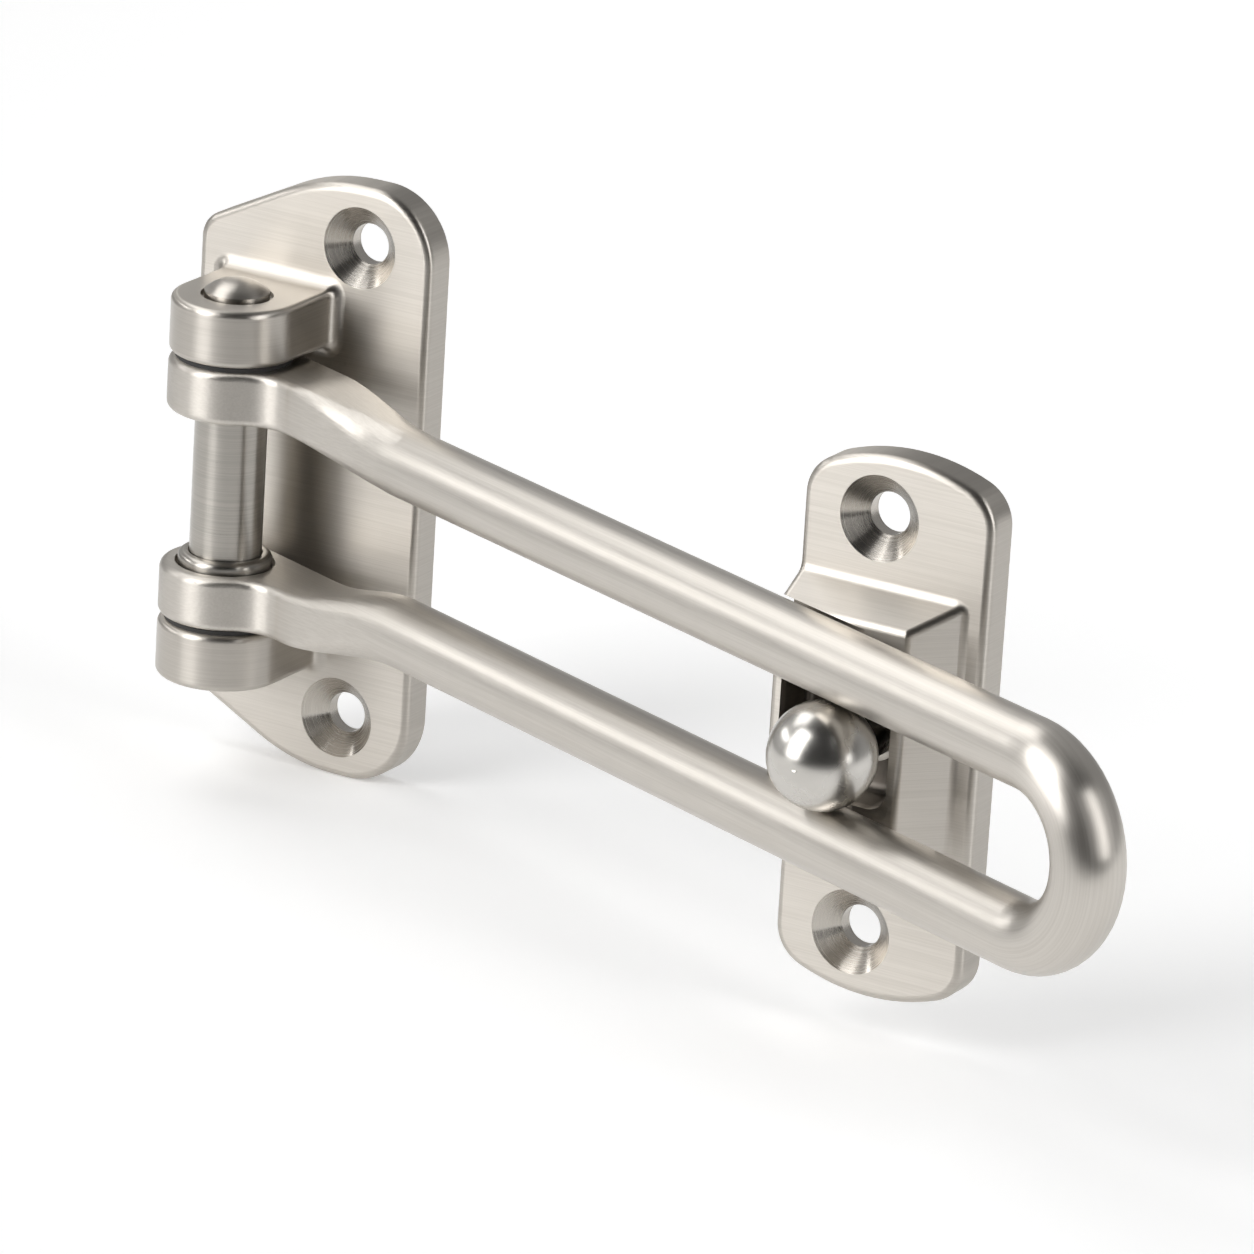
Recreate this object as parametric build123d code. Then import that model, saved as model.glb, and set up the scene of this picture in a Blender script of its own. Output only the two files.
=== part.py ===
from build123d import *
import os
from math import cos, radians, sin, sqrt, tan

# Door guard, sizes in millimetres.
# Origin: back of the hinge plate, midway between its screw holes.
# +X runs along the plates towards the catch, +Y into the wall, +Z up along the hinge pin.

# Both plates
plate_thickness = 4.2
plate_edge_radius = 1.0
screw_hole_diameter = 5.0
countersink_diameter = 10.0
countersink_angle = 90.0

# Hinge plate outline, measured from the line through its screw holes
hinge_hole_spacing = 59.0
hinge_plate_height = 74.0
hinge_plate_width = 32.6
hinge_edge_to_holes = 10.0
hinge_slant_angle = 27.0
hinge_crown_radius = 24.0
hinge_crown_to_holes = 0.5
hinge_shoulder_radius = 8.5
hinge_corner_radius = 3.5

# Pivot lugs and hinge pin
pin_to_hole_line = 11.0
pin_stand_off = 9.2
pin_diameter = 5.6
pin_head_diameter = 7.8
pin_head_rim = 1.1
pin_dome_height = 1.5
pin_head_recess = 0.6
pin_head_clearance = 0.45
pin_tail_chamfer = 0.5
lug_radius = 7.8
lug_thickness = 7.0
lug_edge_radius = 0.8
lug_root_radius = 1.6

# Thrust washers, bush and sleeve on the pin
running_clearance = 0.06
thrust_clearance = 0.1
washer_thickness = 0.5
washer_diameter = 14.0
washer_bore_clearance = 0.3
bush_diameter = 8.4
bush_flange_diameter = 11.4
bush_flange_height = 2.2
bush_counterbore_depth = 0.9
bush_counterbore_clearance = 0.35
bush_flange_radius = 0.8
bush_end_gap = 0.3
sleeve_diameter = 8.7
sleeve_seat_depth = 0.5
sleeve_seat_clearance = 0.15
sleeve_bore_clearance = 0.35
sleeve_end_gap = 0.3
sleeve_edge_chamfer = 0.3

# Swing bar: eyes, necks and the loop of round rod
eye_radius = 7.8
eye_thickness = 6.5
eye_gap = 19.2
eye_edge_radius = 0.9
rod_diameter = 8.3
arm_spacing = 20.7
bar_set_back = 4.5
bar_length = 152.0
bar_angle = 21.0
neck_front_reach = 1.0
neck_root_radius = 6.0
neck_root_straight = 0.6
neck_length = 17.5
neck_stations = 6

# Ball stud
ball_over_slot = 0.1
ball_clearance = 0.1
ball_distance = 109.0
stud_neck_diameter = 6.0
stud_shank_diameter = 4.6
stud_shoulder_diameter = 7.4
stud_shoulder_height = 1.2
stud_rivet_diameter = 7.6
stud_rivet_height = 1.1
stud_rivet_clearance = 0.4

# Catch plate outline, measured from the line through its screw holes
catch_hole_spacing = 49.0
catch_plate_height = 63.8
catch_plate_width = 24.2
catch_edge_to_holes = 9.8
catch_arch_rise = 3.2
catch_corner_radius = 5.0
stud_to_hole_line = 1.0

# Raised housing on the catch plate, with the pocket that the stud comes out of
housing_base_height = 33.6
housing_base_right = 11.6
housing_depth = 4.9
housing_front_right = 7.2
housing_end_draft = 31.0
housing_edge_radius = 1.0
housing_root_radius = 1.2
plate_to_rod_clearance = 0.8
groove_clearance = 0.3
groove_draft = 25.0
pocket_width = 14.2
pocket_height = 15.0
pocket_right_wall = 1.3
pocket_corner_radius = 2.4
pocket_floor_radius = 1.0
pocket_floor_thickness = 3.0
stud_recess_depth = 1.4

# Places that follow from the sizes
pin_x = -pin_to_hole_line
pin_y = -(plate_thickness + pin_stand_off)
rod_radius = rod_diameter / 2
arm_height = arm_spacing / 2
eye_inner = eye_gap / 2
eye_outer = eye_inner + eye_thickness
eye_middle = eye_inner + eye_thickness / 2
lug_inner = eye_outer + washer_thickness + thrust_clearance
lug_outer = lug_inner + lug_thickness
ball_radius = (arm_spacing - rod_diameter + ball_over_slot) / 2
angle = radians(bar_angle)

# The ball rides in front of the slot, its centre this far before the plane of the rods
ball_lead = sqrt((ball_radius + rod_radius + ball_clearance) ** 2 - arm_height**2)

# The stud holds the ball far enough out for the rods to pass the near edge of the catch plate
near_edge_reach = stud_to_hole_line + catch_edge_to_holes
ball_stand_off = (
    plate_to_rod_clearance + (ball_lead + rod_radius) / cos(angle) + near_edge_reach * tan(angle)
)

# Ball centre, and the place of the catch plate's hole line on its back face
ball_side = bar_set_back - ball_lead
ball_x = pin_x + ball_distance * cos(angle) + ball_side * sin(angle)
ball_y = pin_y - ball_distance * sin(angle) + ball_side * cos(angle)
catch_x = ball_x - stud_to_hole_line
catch_y = ball_y + ball_stand_off + plate_thickness
catch_place = Pos(catch_x, catch_y, 0)


def screw_hole(height):
    """Through hole with a countersink, as a tool in a plate whose back lies at y = 0."""
    hole_radius = screw_hole_diameter / 2
    rim_radius = countersink_diameter / 2
    sink_depth = (rim_radius - hole_radius) / tan(radians(countersink_angle / 2))
    profile = Polyline(
        (0, 0),
        (hole_radius, 0),
        (hole_radius, plate_thickness - sink_depth),
        (rim_radius, plate_thickness),
        (0, plate_thickness),
        close=True,
    )
    tool = revolve(make_face(profile), Axis.Y)
    return Pos(0, 0, height) * Rot(180, 0, 0) * tool


def is_at(edge, level):
    """True for an edge that lies in the plane y = level."""
    box = edge.bounding_box()
    return abs(box.min.Y - level) < 0.001 and abs(box.max.Y - level) < 0.001


def hinge_plate():
    # Outline: a long edge to the right, crowned ends that slant down, a shorter edge to the left
    right = hinge_edge_to_holes
    left = hinge_edge_to_holes - hinge_plate_width
    half = hinge_plate_height / 2
    slant = radians(hinge_slant_angle)
    shoulder_x = right - hinge_shoulder_radius
    shoulder_z = half - hinge_shoulder_radius
    shoulder_reach = hinge_shoulder_radius * cos(radians(45))
    crown_x = -hinge_crown_to_holes
    crown_z = half - hinge_crown_radius
    slant_x = crown_x - hinge_crown_radius * sin(slant)
    slant_z = crown_z + hinge_crown_radius * cos(slant)
    left_half = slant_z - (slant_x - left) * tan(slant)
    crown_middle = (
        crown_x - hinge_crown_radius * sin(slant / 2),
        crown_z + hinge_crown_radius * cos(slant / 2),
    )
    upper_end = [
        ThreePointArc(
            (right, shoulder_z), (shoulder_x + shoulder_reach, shoulder_z + shoulder_reach), (shoulder_x, half)
        ),
        Line((shoulder_x, half), (crown_x, half)),
        ThreePointArc((crown_x, half), crown_middle, (slant_x, slant_z)),
        Line((slant_x, slant_z), (left, left_half)),
    ]
    lower_end = [mirror(edge, Plane.XZ) for edge in upper_end]
    sides = [Line((right, -shoulder_z), (right, shoulder_z)), Line((left, -left_half), (left, left_half))]
    outline = make_face(upper_end + lower_end + sides)
    outline = fillet(outline.vertices().sort_by(Axis.X)[:2], hinge_corner_radius)
    plate = extrude(Plane.XZ * outline, amount=plate_thickness)
    front_edges = plate.edges().filter_by_position(Axis.Y, -plate_thickness, -plate_thickness)
    plate = fillet(front_edges, plate_edge_radius)

    # Each lug: a nose round the pin with a root as wide as the nose
    root_length = pin_stand_off + plate_thickness / 2
    nose = Pos(pin_x, pin_y) * Circle(lug_radius)
    root = Pos(pin_x, pin_y + root_length / 2) * Rectangle(2 * lug_radius, root_length)
    lug = Pos(0, 0, lug_inner) * extrude(nose + root, amount=lug_thickness)
    back_y = pin_y + root_length
    rims = lug.edges().filter_by(Plane.XY).filter_by(lambda edge: edge.center().Y < back_y - 0.01)
    lug = fillet(rims, lug_edge_radius)
    body = plate + lug + mirror(lug, Plane.XY)

    # Fillet where the lugs grow out of the plate
    reach = lug_radius + 0.01
    roots = body.edges().filter_by_position(Axis.Y, -plate_thickness, -plate_thickness)
    roots = roots.filter_by(lambda edge: abs(edge.center().X - pin_x) < reach and abs(edge.center().Z) < lug_outer)
    body = fillet(roots, lug_root_radius)

    # Pin hole through both lugs and the recess for the pin's head
    body -= Pos(pin_x, pin_y, 0) * Cylinder(pin_diameter / 2, 4 * lug_outer)
    recess_radius = pin_head_diameter / 2 + pin_head_clearance
    recess = Cylinder(recess_radius, 2 * lug_thickness, align=(Align.CENTER, Align.CENTER, Align.MIN))
    body -= Pos(pin_x, pin_y, lug_outer - pin_head_recess) * recess

    for height in (hinge_hole_spacing / 2, -hinge_hole_spacing / 2):
        body -= screw_hole(height)
    return body


def hinge_pin():
    shank_radius = pin_diameter / 2
    head_radius = pin_head_diameter / 2
    seat = lug_outer - pin_head_recess
    rim = seat + pin_head_rim
    tail = -lug_outer
    chamfer_radius = shank_radius - pin_tail_chamfer
    lines = Polyline(
        (0, tail),
        (chamfer_radius, tail),
        (shank_radius, tail + pin_tail_chamfer),
        (shank_radius, seat),
        (head_radius, seat),
        (head_radius, rim),
    )
    cap_radius = (head_radius**2 + pin_dome_height**2) / (2 * pin_dome_height)
    side = rim + pin_dome_height - cap_radius + sqrt(cap_radius**2 - (head_radius / 2) ** 2)
    dome = ThreePointArc((head_radius, rim), (head_radius / 2, side), (0, rim + pin_dome_height))
    axis_line = Line((0, rim + pin_dome_height), (0, tail))
    profile = Plane.XZ * make_face([lines, dome, axis_line])
    return Pos(pin_x, pin_y, 0) * revolve(profile, Axis.Z)


def thrust_washer(bottom):
    ring = Circle(washer_diameter / 2) - Circle(pin_diameter / 2 + washer_bore_clearance)
    return Pos(pin_x, pin_y, bottom) * extrude(ring, amount=washer_thickness)


def lower_bush():
    bore = pin_diameter / 2 + running_clearance
    flange = bush_flange_diameter / 2
    foot = -eye_inner - bush_counterbore_depth
    top = foot + bush_flange_height
    seat_radius = sleeve_diameter / 2 + sleeve_seat_clearance
    profile = Polyline(
        (bore, -eye_outer + bush_end_gap),
        (bush_diameter / 2, -eye_outer + bush_end_gap),
        (bush_diameter / 2, foot),
        (flange, foot),
        (flange, top),
        (seat_radius, top),
        (seat_radius, top - sleeve_seat_depth),
        (bore, top - sleeve_seat_depth),
        close=True,
    )
    bush = revolve(Plane.XZ * make_face(profile), Axis.Z)
    rim = bush.edges().filter_by(GeomType.CIRCLE).filter_by_position(Axis.Z, top, top).sort_by(SortBy.RADIUS)[-1]
    bush = fillet(rim, bush_flange_radius)
    return Pos(pin_x, pin_y, 0) * bush


def pivot_sleeve():
    bottom = -eye_inner - bush_counterbore_depth + bush_flange_height - sleeve_seat_depth
    length = eye_inner - sleeve_end_gap - bottom
    ring = Circle(sleeve_diameter / 2) - Circle(pin_diameter / 2 + sleeve_bore_clearance)
    sleeve = extrude(ring, amount=length)
    rims = sleeve.edges().filter_by(GeomType.CIRCLE).group_by(SortBy.RADIUS)[-1]
    sleeve = chamfer(rims, sleeve_edge_chamfer)
    return Pos(pin_x, pin_y, bottom) * sleeve


def swing_bar():
    # Built along +X from the pin's axis, with the rods set back towards +Y
    root_width = eye_radius + neck_front_reach
    root_side = (eye_radius - neck_front_reach) / 2
    bend_x = bar_length - arm_height

    # Eye and the root of its neck: in plan the neck leaves the back half of the eye, with a hollow corner in front
    corner_end = sqrt((eye_radius + neck_root_radius) ** 2 - (neck_front_reach + neck_root_radius) ** 2)
    root_end = corner_end + neck_root_straight
    strip = Pos(root_end / 2, root_side) * Rectangle(root_end, root_width)
    plan = Circle(eye_radius) + strip
    hollow = plan.vertices().filter_by(
        lambda vertex: abs(vertex.Y + neck_front_reach) < 0.001 and vertex.X < corner_end
    )
    plan = fillet(hollow, neck_root_radius)
    root = Pos(0, 0, eye_inner) * extrude(plan, amount=eye_thickness)
    rims = root.edges().filter_by(Plane.XY).filter_by(lambda edge: edge.center().X < root_end - 0.001)
    root = fillet(rims, eye_edge_radius)

    # Forged neck: flat at the root, round where the rod starts, bent back and inwards on the way
    neck_end = root_end + neck_length
    stations = []
    for step in range(neck_stations):
        part_way = step / neck_stations
        blend = part_way**2 * (3 - 2 * part_way)
        side = root_side + blend * (bar_set_back - root_side)
        height = eye_middle + blend * (arm_height - eye_middle)
        width = root_width + blend * (rod_diameter - root_width)
        depth = eye_thickness + blend * (rod_diameter - eye_thickness)
        corner = eye_edge_radius + blend * (rod_radius - eye_edge_radius)
        across = Plane((root_end + part_way * neck_length, side, height), x_dir=(0, 1, 0), z_dir=(1, 0, 0))
        stations.append((across * RectangleRounded(width, depth, corner)).face())
    rod_plane = Plane((neck_end, bar_set_back, arm_height), x_dir=(0, 1, 0), z_dir=(1, 0, 0))
    rod = rod_plane * Circle(rod_radius)
    neck = loft(stations + [rod.face()])
    arm = extrude(rod, amount=bend_x - neck_end)
    upper = root + neck + arm
    bend_plane = Plane((bend_x, bar_set_back, arm_height), x_dir=(0, 1, 0), z_dir=(1, 0, 0))
    bend = revolve(bend_plane * Circle(rod_radius), Axis((bend_x, bar_set_back, 0), (0, 1, 0)), 180)
    bar = upper + mirror(upper, Plane.XY) + bend

    # The upper eye runs on the pin, the lower eye holds the flanged bush
    bore_length = 2 * eye_thickness
    bar -= Pos(0, 0, eye_middle) * Cylinder(pin_diameter / 2 + running_clearance, bore_length)
    bar -= Pos(0, 0, -eye_middle) * Cylinder(bush_diameter / 2, bore_length)
    counterbore_radius = bush_flange_diameter / 2 + bush_counterbore_clearance
    counterbore = Cylinder(counterbore_radius, eye_thickness, align=(Align.CENTER, Align.CENTER, Align.MIN))
    bar -= Pos(0, 0, -eye_inner - bush_counterbore_depth) * counterbore
    return Pos(pin_x, pin_y, 0) * Rot(0, 0, -bar_angle) * bar


def catch_plate():
    # Plate with arched ends, the hole line at x = 0 and the back at y = 0
    left = -catch_edge_to_holes
    right = catch_plate_width - catch_edge_to_holes
    middle = (left + right) / 2
    half = catch_plate_height / 2
    shoulder = half - catch_arch_rise
    outline = make_face(
        [
            Line((right, -shoulder), (right, shoulder)),
            ThreePointArc((right, shoulder), (middle, half), (left, shoulder)),
            Line((left, shoulder), (left, -shoulder)),
            ThreePointArc((left, -shoulder), (middle, -half), (right, -shoulder)),
        ]
    )
    outline = fillet(outline.vertices(), catch_corner_radius)
    plate = extrude(Plane.XZ * outline, amount=plate_thickness)

    # Housing: upright against the plate's left side and drafted on the other three
    front_height = housing_base_height - 2 * housing_depth * tan(radians(housing_end_draft))
    base_plane = Plane.XZ.offset(plate_thickness)
    front_plane = base_plane.offset(housing_depth)
    base_width = housing_base_right - left
    front_width = housing_front_right - left
    base = base_plane * Pos(left + base_width / 2, 0) * Rectangle(base_width, housing_base_height)
    front = front_plane * Pos(left + front_width / 2, 0) * Rectangle(front_width, front_height)
    block = loft([base.face(), front.face()], ruled=True)

    # Round the edges of the housing's front, then the root all round, then the rim of the whole casting
    inner_edges = block.edges().filter_by(
        lambda edge: edge.center().X > left and not is_at(edge, -plate_thickness)
    )
    inner_edges = inner_edges.filter_by(lambda edge: abs(edge.center().X - left) > base_width / 100)
    block = fillet(inner_edges, housing_edge_radius)
    body = plate + block
    within = housing_base_height / 2 + plate_edge_radius
    roots = body.edges().filter_by(
        lambda edge: is_at(edge, -plate_thickness)
        and abs(edge.center().Z) < within
        and left < edge.center().X - plate_edge_radius < housing_base_right
    )
    body = fillet(roots, housing_root_radius)
    side_face = body.faces().filter_by(Plane.YZ).sort_by(Axis.X)[0]
    side_edges = side_face.edges().filter_by(lambda edge: not is_at(edge, 0))
    side_edges = side_edges.filter_by(lambda edge: abs(edge.center().Z) < shoulder - catch_corner_radius / 2)
    side_edges = side_edges.filter_by(Axis.Y, reverse=True)
    rim = body.edges().filter_by(
        lambda edge: is_at(edge, -plate_thickness)
        and (abs(edge.center().Z) > within + housing_root_radius or edge.center().X > right - plate_edge_radius)
    )
    body = fillet(rim + side_edges, plate_edge_radius)

    # Pocket for the stud, with a rounded floor
    pocket_right = housing_front_right - pocket_right_wall
    floor_plane = Plane.XZ.offset(pocket_floor_thickness)
    mouth = Pos(pocket_right - pocket_width / 2, 0) * RectangleRounded(
        pocket_width, pocket_height, pocket_corner_radius
    )
    pocket = extrude(floor_plane * mouth, amount=plate_thickness + housing_depth)
    pocket = fillet(
        pocket.edges().filter_by(lambda edge: is_at(edge, -pocket_floor_thickness)), pocket_floor_radius
    )
    body -= pocket

    # Grooves behind the two rods, along the bar as it lies when the door is ajar
    ball_place = Pos(stud_to_hole_line, -plate_thickness - ball_stand_off, 0)
    groove_depth = rod_radius + groove_clearance
    draft = radians(groove_draft)
    back_half = groove_depth / cos(draft) - groove_depth * tan(draft)
    front_half = back_half + (groove_depth + rod_diameter) * tan(draft)
    section = make_face(
        Polyline(
            (groove_depth, -back_half),
            (groove_depth, back_half),
            (-rod_diameter, front_half),
            (-rod_diameter, -front_half),
            close=True,
        )
    )
    groove = extrude(Plane.YZ * section, amount=2 * catch_plate_width, both=True)
    for height in (arm_height, -arm_height):
        body -= ball_place * Rot(0, 0, -bar_angle) * Pos(0, ball_lead, height) * groove

    # Seat of the stud: a bore in the pocket's floor and a recess for the riveted end
    stud_axis = Plane.XZ * Pos(stud_to_hole_line, 0)
    recess_radius = stud_rivet_diameter / 2 + stud_rivet_clearance
    body -= extrude(stud_axis * Circle(stud_shank_diameter / 2), amount=pocket_floor_thickness)
    body -= extrude(stud_axis * Circle(recess_radius), amount=stud_recess_depth)

    for height in (catch_hole_spacing / 2, -catch_hole_spacing / 2):
        body -= screw_hole(height)
    return body


def ball_stud():
    # Turned profile, its radius along X and its length along Y from the back of the catch plate
    shank = stud_shank_diameter / 2
    rivet = stud_rivet_diameter / 2
    shoulder = stud_shoulder_diameter / 2
    neck = stud_neck_diameter / 2
    rivet_start = stud_recess_depth - stud_rivet_height
    shoulder_end = pocket_floor_thickness + stud_shoulder_height
    centre = plate_thickness + ball_stand_off
    ball_start = centre - sqrt(ball_radius**2 - neck**2)
    lines = Polyline(
        (0, rivet_start),
        (rivet, rivet_start),
        (rivet, stud_recess_depth),
        (shank, stud_recess_depth),
        (shank, pocket_floor_thickness),
        (shoulder, pocket_floor_thickness),
        (shoulder, shoulder_end),
        (neck, shoulder_end),
        (neck, ball_start),
    )
    ball = ThreePointArc((neck, ball_start), (ball_radius, centre), (0, centre + ball_radius))
    axis_line = Line((0, centre + ball_radius), (0, rivet_start))
    stud = revolve(make_face([lines, ball, axis_line]), Axis.Y)
    return Pos(stud_to_hole_line, 0, 0) * Rot(180, 0, 0) * stud


parts = {
    "hinge_plate": hinge_plate(),
    "hinge_pin": hinge_pin(),
    "upper_thrust_washer": thrust_washer(eye_outer),
    "lower_thrust_washer": thrust_washer(-lug_inner),
    "lower_bush": lower_bush(),
    "pivot_sleeve": pivot_sleeve(),
    "swing_bar": swing_bar(),
    "catch_plate": catch_place * catch_plate(),
    "ball_stud": catch_place * ball_stud(),
}

os.makedirs("parts", exist_ok=True)
for name, solid in parts.items():
    export_step(solid, f"parts/{name}.step")
    box = solid.bounding_box()
    print(name, len(solid.solids()), "solid", round(solid.volume / 1000, 2), "cm3", solid.is_valid, box.size)
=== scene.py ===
import math

import bpy
from mathutils import Matrix, Vector


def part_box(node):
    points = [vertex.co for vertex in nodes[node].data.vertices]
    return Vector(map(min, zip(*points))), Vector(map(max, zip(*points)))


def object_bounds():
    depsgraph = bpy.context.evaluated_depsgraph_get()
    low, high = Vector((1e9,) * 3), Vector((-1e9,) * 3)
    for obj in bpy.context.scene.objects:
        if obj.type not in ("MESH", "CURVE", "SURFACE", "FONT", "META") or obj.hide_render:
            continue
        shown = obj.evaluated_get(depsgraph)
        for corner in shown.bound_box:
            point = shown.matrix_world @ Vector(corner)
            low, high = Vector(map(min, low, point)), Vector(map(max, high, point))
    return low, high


# Door guard in satin nickel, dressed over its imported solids. Lengths in metres, angles in degrees.

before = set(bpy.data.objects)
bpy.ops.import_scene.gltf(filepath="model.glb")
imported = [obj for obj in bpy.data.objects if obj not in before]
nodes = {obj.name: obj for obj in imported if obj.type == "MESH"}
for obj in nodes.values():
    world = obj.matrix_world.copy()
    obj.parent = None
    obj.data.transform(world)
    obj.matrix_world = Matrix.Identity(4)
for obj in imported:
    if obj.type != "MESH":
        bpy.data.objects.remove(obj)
cad_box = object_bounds()
scene = bpy.context.scene
scene.view_settings.view_transform = "Standard"

# Camera, as fitted to the photograph: angles, distance and aim from the hinge pin's axis
PICTURE_SIDE = 1254
CAMERA_AZIMUTH = 29.93
CAMERA_ELEVATION = 18.94
CAMERA_ROLL = 3.51
CAMERA_FOCAL_PIXELS = 9000
SENSOR_WIDTH = 36
CAMERA_REACH = 20
PIXELS_PER_METRE = 8591
AIM_FROM_PIN = Vector((0.0559, 0, -0.0053))

# Places on the part that the finishes follow
BAR_ANGLE = 21.0
LOOP_BEND_START = 0.1417
NECK_START = 0.014
NECK_END = 0.046
SINK_RADIUS = 0.005
SINK_EDGE_OUTER = 1.01
SINK_EDGE_INNER = 0.985
BACK_FADE = (0.0001, 0.0003)
HOLE_SPACING = {"hinge_plate": 0.059, "catch_plate": 0.049}
CATCH_EDGE_TO_HOLES = 0.0098
HOLE_LINE_X = {"hinge_plate": 0.0, "catch_plate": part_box("catch_plate")[0].x + CATCH_EDGE_TO_HOLES}
POCKET_RIGHT_OF_HOLES = 0.0059
POCKET_WIDTH = 0.0142
POCKET_HEIGHT = 0.015
POCKET_BEHIND_FRONT = 0.0012
POCKET_BEFORE_BACK = 0.001
POCKET_EDGE = 0.0003

# Finishes
NICKEL = (0.545, 0.513, 0.468)
NICKEL_SHADE = (0.49, 0.459, 0.416)
BAR_NICKEL = (0.605, 0.573, 0.527)
BAR_SHADE = (0.55, 0.518, 0.473)
TURNED_STEEL = (0.47, 0.445, 0.407)
TURNED_SHADE = (0.39, 0.37, 0.337)
BALL_METAL = (0.60, 0.58, 0.545)
BALL_SHADE = (0.56, 0.54, 0.505)
# Painted shade: near-black colour laid inside the catch plate's pocket, standing for the shade in that
# hollow
POCKET_PAINTED_SHADE = (0.12, 0.108, 0.095)
WASHER_BLACK = (0.03, 0.028, 0.026)
WASHER_SHADE = (0.02, 0.02, 0.02)

# Brushing runs level across the plates and round the turned parts, and along the bar
# (grain sizes are along, across and out of the brushing for the bar, and along X, Y and Z otherwise)
LEVEL = (1, 0.25, 0.1)
LEVEL_GRAIN = (0.018, 0.018, 0.00016)
LOOP_GRAIN = (0.014, 0.00022, 0.00022)
SPECKLE = (0.005, 0.005, 0.005)
NOISE_DETAIL = 3.0
GRAIN_NOISE = 0.6
RING_NOISE = 0.7
RINGS_PER_METRE = 5200.0
SHADE_BELOW = 0.3
COLOUR_ABOVE = 0.7
RELIEF_STRENGTH = 0.09
RELIEF_DEPTH = 0.00004

# How dull each piece is, how far its grain varies that, and how far brushing spreads a reflection
PLATE_ROUGHNESS = 0.36
BAR_ROUGHNESS = 0.33
NECK_ROUGHNESS = 0.44
TURNED_ROUGHNESS = 0.3
SINK_ROUGHNESS = 0.26
BALL_ROUGHNESS = 0.27
WASHER_ROUGHNESS = 0.55
UNEVEN_ROUGHNESS = 0.12
BRUSHED = 0.8
UNBRUSHED = 0

pin_low, pin_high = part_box("hinge_pin")
pin_axis = Vector(((pin_low.x + pin_high.x) / 2, (pin_low.y + pin_high.y) / 2, 0))
bar_axis = Vector((math.cos(math.radians(BAR_ANGLE)), -math.sin(math.radians(BAR_ANGLE)), 0))
bar_side = Vector((math.sin(math.radians(BAR_ANGLE)), math.cos(math.radians(BAR_ANGLE)), 0))


def add(tree, kind, inputs=None, **settings):
    """New shader node with its settings, and its inputs set to a value or linked to a socket."""
    made = tree.nodes.new(kind)
    for key, value in settings.items():
        setattr(made, key, value)
    for key, value in (inputs or {}).items():
        if isinstance(value, bpy.types.NodeSocket):
            tree.links.new(value, made.inputs[key])
        else:
            made.inputs[key].default_value = value
    return made


def maths(tree, operation, first, second=0.0):
    return add(tree, "ShaderNodeMath", {0: first, 1: second}, operation=operation).outputs[0]


def vectors(tree, operation, first, second):
    return add(tree, "ShaderNodeVectorMath", {0: first, 1: second}, operation=operation).outputs[0]


def dot(tree, first, second):
    made = add(tree, "ShaderNodeVectorMath", {0: first, 1: second}, operation="DOT_PRODUCT")
    return made.outputs["Value"]


def mix_value(tree, factor, low, high):
    return add(tree, "ShaderNodeMix", {0: factor, 2: low, 3: high}, data_type="FLOAT").outputs[0]


def mix_vector(tree, factor, low, high):
    return add(tree, "ShaderNodeMix", {0: factor, 4: low, 5: high}, data_type="VECTOR").outputs[1]


def mix_colour(tree, factor, low, high):
    return add(tree, "ShaderNodeMix", {0: factor, 6: low, 7: high}, data_type="RGBA").outputs[2]


def ramp(tree, value, start, end):
    """0 below start, 1 above end, smooth between; end may be the smaller one."""
    made = add(
        tree,
        "ShaderNodeMapRange",
        {"Value": value, "From Min": start, "From Max": end, "To Min": 0.0, "To Max": 1.0},
        interpolation_type="SMOOTHSTEP",
    )
    return made.outputs["Result"]


def rgba(colour):
    return (*colour, 1.0)


def grain(tree, place, size):
    """Fine lines of brushing: noise with grains of the given size."""
    drawn_out = vectors(tree, "DIVIDE", place, size)
    settings = {"Vector": drawn_out, "Scale": 1.0, "Detail": NOISE_DETAIL, "Roughness": GRAIN_NOISE}
    return add(tree, "ShaderNodeTexNoise", settings).outputs["Fac"]


def turned_rings(tree, radius):
    """Rings left by turning: noise that changes with the radius alone."""
    outward = maths(tree, "MULTIPLY", radius, RINGS_PER_METRE)
    settings = {"W": outward, "Scale": 1.0, "Detail": NOISE_DETAIL, "Roughness": RING_NOISE}
    return add(tree, "ShaderNodeTexNoise", settings, noise_dimensions="1D").outputs["Fac"]


def along_loop(tree, place):
    """Coordinates along the loop, out of its plane and out from its middle, and the loop's direction."""
    from_pin = vectors(tree, "SUBTRACT", place, tuple(pin_axis))
    along = dot(tree, from_pin, tuple(bar_axis))
    aside = dot(tree, from_pin, tuple(bar_side))
    height = add(tree, "ShaderNodeSeparateXYZ", {0: place}).outputs["Z"]
    past_bend = maths(tree, "MAXIMUM", maths(tree, "SUBTRACT", along, LOOP_BEND_START), 0.0)
    rise = add(tree, "ShaderNodeCombineXYZ", {"Z": height}).outputs[0]
    scaled = {0: tuple(bar_axis), "Scale": past_bend}
    reach = add(tree, "ShaderNodeVectorMath", scaled, operation="SCALE").outputs[0]
    outwards = vectors(tree, "ADD", rise, reach)
    distance = add(tree, "ShaderNodeVectorMath", {0: outwards}, operation="LENGTH").outputs["Value"]
    followed = add(tree, "ShaderNodeCombineXYZ", {"X": along, "Y": aside, "Z": distance}).outputs[0]
    return followed, vectors(tree, "CROSS_PRODUCT", tuple(bar_side), outwards)


def from_hole(tree, place, x, z):
    """Vector from a screw hole's axis, which runs along Y, and its length."""
    offset = vectors(tree, "SUBTRACT", place, (x, 0, z))
    across = vectors(tree, "MULTIPLY", offset, (1, 0, 1))
    length = add(tree, "ShaderNodeVectorMath", {0: across}, operation="LENGTH").outputs["Value"]
    return across, length


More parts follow.
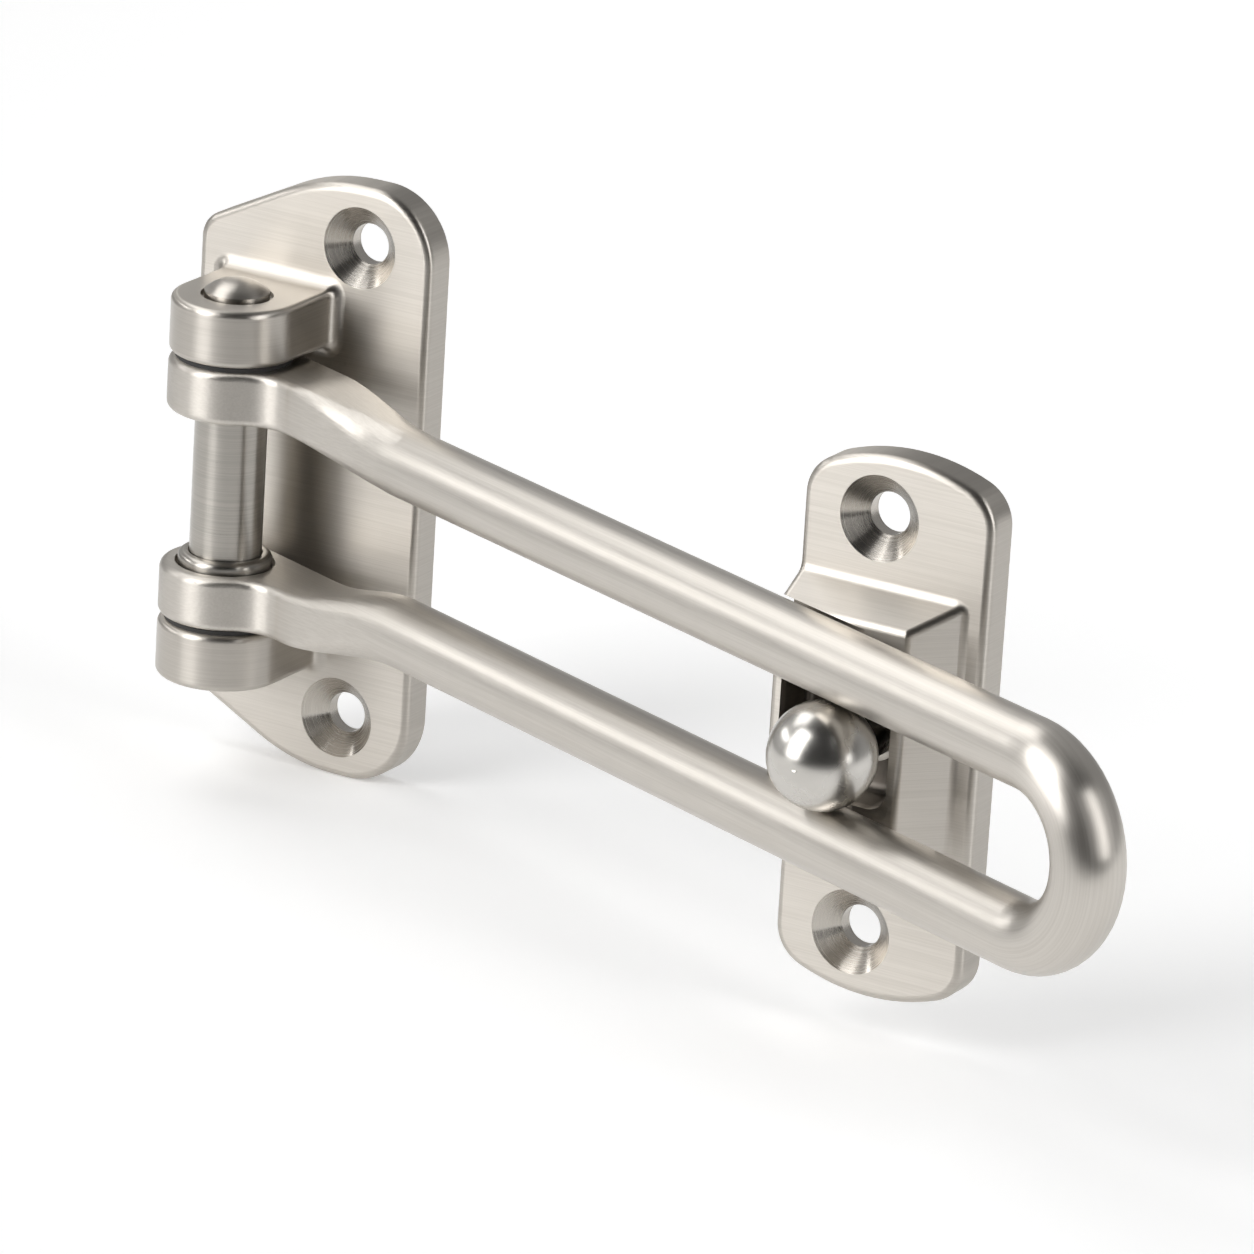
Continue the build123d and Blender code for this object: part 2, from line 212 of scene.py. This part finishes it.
def with_piece(tree, direction):
    """A direction fixed to the piece, which turns with it when it moves."""
    spaces = {"vector_type": "VECTOR", "convert_from": "OBJECT", "convert_to": "WORLD"}
    return add(tree, "ShaderNodeVectorTransform", {"Vector": direction}, **spaces).outputs[0]


def inside_box(tree, place, low, high, edge):
    """1 inside a box and 0 outside, soft over the given edge."""
    parts = add(tree, "ShaderNodeSeparateXYZ", {0: place}).outputs
    inside = 1.0
    for axis in range(3):
        above = ramp(tree, parts[axis], low[axis] - edge, low[axis] + edge)
        below = ramp(tree, parts[axis], high[axis] + edge, high[axis] - edge)
        inside = maths(tree, "MULTIPLY", inside, maths(tree, "MULTIPLY", above, below))
    return inside


def satin_metal(
    name,
    size,
    roughness,
    spread=BRUSHED,
    colour=NICKEL,
    shade=NICKEL_SHADE,
    holes=(),
    back_face=0.0,
    pocket=None,
    on_loop=False,
):
    """Metal whose grain shows in colour, roughness and relief; brushing spreads reflections across it.
    Given a pocket box, painted shade darkens the colour inside it.
    """
    material = bpy.data.materials.new(name)
    material.use_nodes = True
    tree = material.node_tree
    shader = tree.nodes["Principled BSDF"]
    shader.inputs["Metallic"].default_value = 1.0
    shader.inputs["Anisotropic"].default_value = spread
    place = add(tree, "ShaderNodeTexCoord").outputs["Object"]
    normal = add(tree, "ShaderNodeNewGeometry").outputs["Normal"]
    drawn, brush = along_loop(tree, place) if on_loop else (place, LEVEL)
    relief = grain(tree, drawn, size)
    if on_loop:
        along = add(tree, "ShaderNodeSeparateXYZ", {0: drawn}).outputs["X"]
        roughness = mix_value(tree, ramp(tree, along, NECK_END, NECK_START), roughness, NECK_ROUGHNESS)
    across = vectors(tree, "CROSS_PRODUCT", with_piece(tree, brush), normal)

    # Countersinks are turned, all but the plate's back face: rings, reflections spread out from the hole
    if holes:
        depth = add(tree, "ShaderNodeSeparateXYZ", {0: place}).outputs["Y"]
        in_front = ramp(tree, depth, back_face - BACK_FADE[0], back_face - BACK_FADE[1])
    for x, z in holes:
        outwards, radius = from_hole(tree, place, x, z)
        near_hole = ramp(tree, radius, SINK_RADIUS * SINK_EDGE_OUTER, SINK_RADIUS * SINK_EDGE_INNER)
        inside = maths(tree, "MULTIPLY", near_hole, in_front)
        relief = mix_value(tree, inside, relief, turned_rings(tree, radius))
        across = mix_vector(tree, inside, across, with_piece(tree, outwards))
        roughness = mix_value(tree, inside, roughness, SINK_ROUGHNESS)
    tree.links.new(across, shader.inputs["Tangent"])

    tint = mix_colour(tree, ramp(tree, relief, SHADE_BELOW, COLOUR_ABOVE), rgba(shade), rgba(colour))
    # Painted shade: inside the pocket box the colour is darkened towards near black
    if pocket:
        tint = mix_colour(tree, inside_box(tree, place, *pocket, POCKET_EDGE), tint, rgba(POCKET_PAINTED_SHADE))
    tree.links.new(tint, shader.inputs["Base Color"])
    uneven = maths(tree, "MULTIPLY", maths(tree, "SUBTRACT", relief, 0.5), UNEVEN_ROUGHNESS)
    tree.links.new(maths(tree, "ADD", uneven, roughness), shader.inputs["Roughness"])
    raised = {"Strength": RELIEF_STRENGTH, "Distance": RELIEF_DEPTH, "Height": relief}
    bump = add(tree, "ShaderNodeBump", raised)
    tree.links.new(bump.outputs[0], shader.inputs["Normal"])
    return material


def wear(node, material):
    """Gives a CAD node's object one material in all its slots."""
    slots = nodes[node].data.materials
    slots.clear()
    slots.append(material)


def holes_of(node):
    spacing = HOLE_SPACING[node]
    x = HOLE_LINE_X[node]
    return ((x, spacing / 2), (x, -spacing / 2))


def pocket_box():
    """The catch plate's pocket, from just behind the housing's front face to its back, where painted
    shade darkens the colour.
    """
    low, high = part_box("catch_plate")
    right = HOLE_LINE_X["catch_plate"] + POCKET_RIGHT_OF_HOLES
    front = low.y + POCKET_BEHIND_FRONT
    rear = high.y - POCKET_BEFORE_BACK
    return (right - POCKET_WIDTH, front, -POCKET_HEIGHT / 2), (right, rear, POCKET_HEIGHT / 2)


# The catch plate's pocket gets painted shade inside it
for part, recess in (("hinge_plate", None), ("catch_plate", pocket_box())):
    finish = satin_metal(
        f"satin_{part}",
        LEVEL_GRAIN,
        PLATE_ROUGHNESS,
        holes=holes_of(part),
        back_face=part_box(part)[1].y,
        pocket=recess,
    )
    wear(part, finish)
bar_finish = satin_metal(
    "satin_bar", LOOP_GRAIN, BAR_ROUGHNESS, colour=BAR_NICKEL, shade=BAR_SHADE, on_loop=True
)
wear("swing_bar", bar_finish)
turned = satin_metal("turned_steel", LEVEL_GRAIN, TURNED_ROUGHNESS, BRUSHED, TURNED_STEEL, TURNED_SHADE)
for part in ("lower_bush", "pivot_sleeve"):
    wear(part, turned)
wear("hinge_pin", satin_metal("satin_pin", LEVEL_GRAIN, TURNED_ROUGHNESS))
polished = satin_metal("polished_ball", SPECKLE, BALL_ROUGHNESS, UNBRUSHED, BALL_METAL, BALL_SHADE)
wear("ball_stud", polished)
black = satin_metal("washer_black", SPECKLE, WASHER_ROUGHNESS, UNBRUSHED, WASHER_BLACK, WASHER_SHADE)
black.node_tree.nodes["Principled BSDF"].inputs["Metallic"].default_value = 0.0
for part in ("upper_thrust_washer", "lower_thrust_washer"):
    wear(part, black)


def view_axes():
    """The picture's right and up, the way back to the camera, and that way and the right on the level."""
    azimuth = math.radians(CAMERA_AZIMUTH)
    elevation = math.radians(CAMERA_ELEVATION)
    roll = math.radians(CAMERA_ROLL)
    level = Vector((math.sin(azimuth), -math.cos(azimuth), 0))
    back = level * math.cos(elevation) + Vector((0, 0, math.sin(elevation)))
    right = Vector((math.cos(azimuth), math.sin(azimuth), 0))
    up = back.cross(right)
    across = right * math.cos(roll) + up * math.sin(roll)
    upright = up * math.cos(roll) - right * math.sin(roll)
    return across, upright, back, level, right


across, upright, back, towards_camera, level_right = view_axes()
aim = pin_axis + AIM_FROM_PIN


def add_camera():
    data = bpy.data.cameras.new("camera")
    data.sensor_width = SENSOR_WIDTH
    data.lens = SENSOR_WIDTH * CAMERA_FOCAL_PIXELS / PICTURE_SIDE
    data.clip_end = CAMERA_REACH
    camera = bpy.data.objects.new("camera", data)
    place = Matrix((across, upright, back)).transposed().to_4x4()
    place.translation = aim + back * (CAMERA_FOCAL_PIXELS / PIXELS_PER_METRE)
    camera.matrix_world = place
    scene.collection.objects.link(camera)
    scene.camera = camera


LAMP_DISTANCE = 0.8
SOFTBOXES = {
    "front_left_box": {"azimuth": -32, "elevation": 28, "width": 0.42, "height": 0.8, "power": 5.1},
    "right_box": {"azimuth": 80, "elevation": 26, "width": 0.3, "height": 0.75, "power": 2.2},
    "left_strip": {"azimuth": -75, "elevation": 22, "width": 0.4, "height": 0.1, "power": 0.6},
    "upper_left_box": {"azimuth": -100, "elevation": 55, "width": 0.5, "height": 0.4, "power": 1.3},
}


def add_softbox(name, azimuth, elevation, width, height, power):
    """Area lamp facing the middle of the object; azimuth 0 is the front and 90 the right."""
    data = bpy.data.lights.new(name, "AREA")
    data.shape = "RECTANGLE"
    data.size = width
    data.size_y = height
    data.energy = power
    lamp = bpy.data.objects.new(name, data)
    turn = math.radians(azimuth)
    rise = math.radians(elevation)
    away = Vector((math.sin(turn) * math.cos(rise), -math.cos(turn) * math.cos(rise), math.sin(rise)))
    middle = (cad_box[0] + cad_box[1]) / 2
    lamp.location = middle + away * LAMP_DISTANCE
    lamp.rotation_mode = "QUATERNION"
    lamp.rotation_quaternion = away.to_track_quat("Z", "Y")
    scene.collection.objects.link(lamp)


def seen_directly(tree):
    """1 for rays that show the background itself: camera, mirror and see-through rays."""
    path = add(tree, "ShaderNodeLightPath").outputs
    shown = maths(tree, "MAXIMUM", path["Is Camera Ray"], path["Is Glossy Ray"])
    return maths(tree, "MAXIMUM", shown, path["Is Transmission Ray"])


# White floor, even in the picture, and grey from the given reaches towards the camera and to the left
FLOOR_HALF_SIDE = 1.5
FLOOR_WHITE = (0.95, 0.95, 0.95)
FLOOR_GREY = (0.16, 0.16, 0.16)
FLOOR_ROUGHNESS = 0.9
FLOOR_GLOW = 0.245
FLOOR_GLOW_MOST = 0.5
GLOW_RISE_BACK = 0.53
GLOW_RISE_RIGHT = 0.85
WHITE_REACH = 0.18
GREY_REACH = 0.36
LEFT_WHITE = 0.3
LEFT_GREY = 0.55


def add_floor():
    """White floor under the plates that keeps a pale shadow, grey well outside the picture."""
    side = FLOOR_HALF_SIDE
    level = cad_box[0].z
    mesh = bpy.data.meshes.new("floor")
    corners = [(-side, -side, level), (side, -side, level), (side, side, level), (-side, side, level)]
    mesh.from_pydata(corners, [], [(0, 1, 2, 3)])
    floor = bpy.data.objects.new("floor", mesh)
    scene.collection.objects.link(floor)
    material = bpy.data.materials.new("white_floor")
    material.use_nodes = True
    tree = material.node_tree
    shader = tree.nodes["Principled BSDF"]
    place = add(tree, "ShaderNodeTexCoord").outputs["Object"]
    forward = maths(tree, "SUBTRACT", dot(tree, place, tuple(towards_camera)), aim.dot(towards_camera))
    leftward = maths(tree, "SUBTRACT", aim.dot(level_right), dot(tree, place, tuple(level_right)))
    too_near = ramp(tree, forward, WHITE_REACH, GREY_REACH)
    too_far_left = ramp(tree, leftward, LEFT_WHITE, LEFT_GREY)
    outside = maths(tree, "MAXIMUM", too_near, too_far_left)
    shown = mix_colour(tree, outside, rgba(FLOOR_WHITE), rgba(FLOOR_GREY))
    tree.links.new(shown, shader.inputs["Base Color"])
    shader.inputs["Roughness"].default_value = FLOOR_ROUGHNESS
    shader.inputs["Specular IOR Level"].default_value = 0.0
    shader.inputs["Emission Color"].default_value = (1, 1, 1, 1)
    # The glow grows where the lamps' light falls off, so that the floor is evenly white
    rise = level_right * GLOW_RISE_RIGHT - towards_camera * GLOW_RISE_BACK
    fill = maths(tree, "ADD", dot(tree, place, tuple(rise)), FLOOR_GLOW - aim.dot(rise))
    limits = {"Value": fill, "Min": 0.0, "Max": FLOOR_GLOW_MOST}
    even = add(tree, "ShaderNodeClamp", limits).outputs[0]
    glow = mix_value(tree, outside, even, 0.0)
    tree.links.new(maths(tree, "MULTIPLY", seen_directly(tree), glow), shader.inputs["Emission Strength"])
    mesh.materials.append(material)


# Strength of the room's light, and how far round the camera's and the left side reach (as cosines)
ROOM_LIGHT = 0.36
ROOM_LIGHT_LEFT = 0.5
ROOM_LIGHT_BY_CAMERA = 0.03
CAMERA_SIDE = (-0.1, 0.6)
LEFT_SIDE = (0.5, 0.95)


def add_world():
    """Soft grey room, paler to the left and dark round the camera."""
    world = bpy.data.worlds.new("studio")
    scene.world = world
    world.use_nodes = True
    tree = world.node_tree
    direction = add(tree, "ShaderNodeTexCoord").outputs["Generated"]
    facing = ramp(tree, dot(tree, direction, tuple(back)), *CAMERA_SIDE)
    leftwards = ramp(tree, dot(tree, direction, tuple(-level_right)), *LEFT_SIDE)
    room = mix_value(tree, leftwards, ROOM_LIGHT, ROOM_LIGHT_LEFT)
    strength = mix_value(tree, facing, room, ROOM_LIGHT_BY_CAMERA)
    tree.links.new(strength, tree.nodes["Background"].inputs["Strength"])
    tree.nodes["Background"].inputs["Color"].default_value = (1, 1, 1, 1)


add_camera()
add_floor()
add_world()
for box_name, box in SOFTBOXES.items():
    add_softbox(box_name, **box)
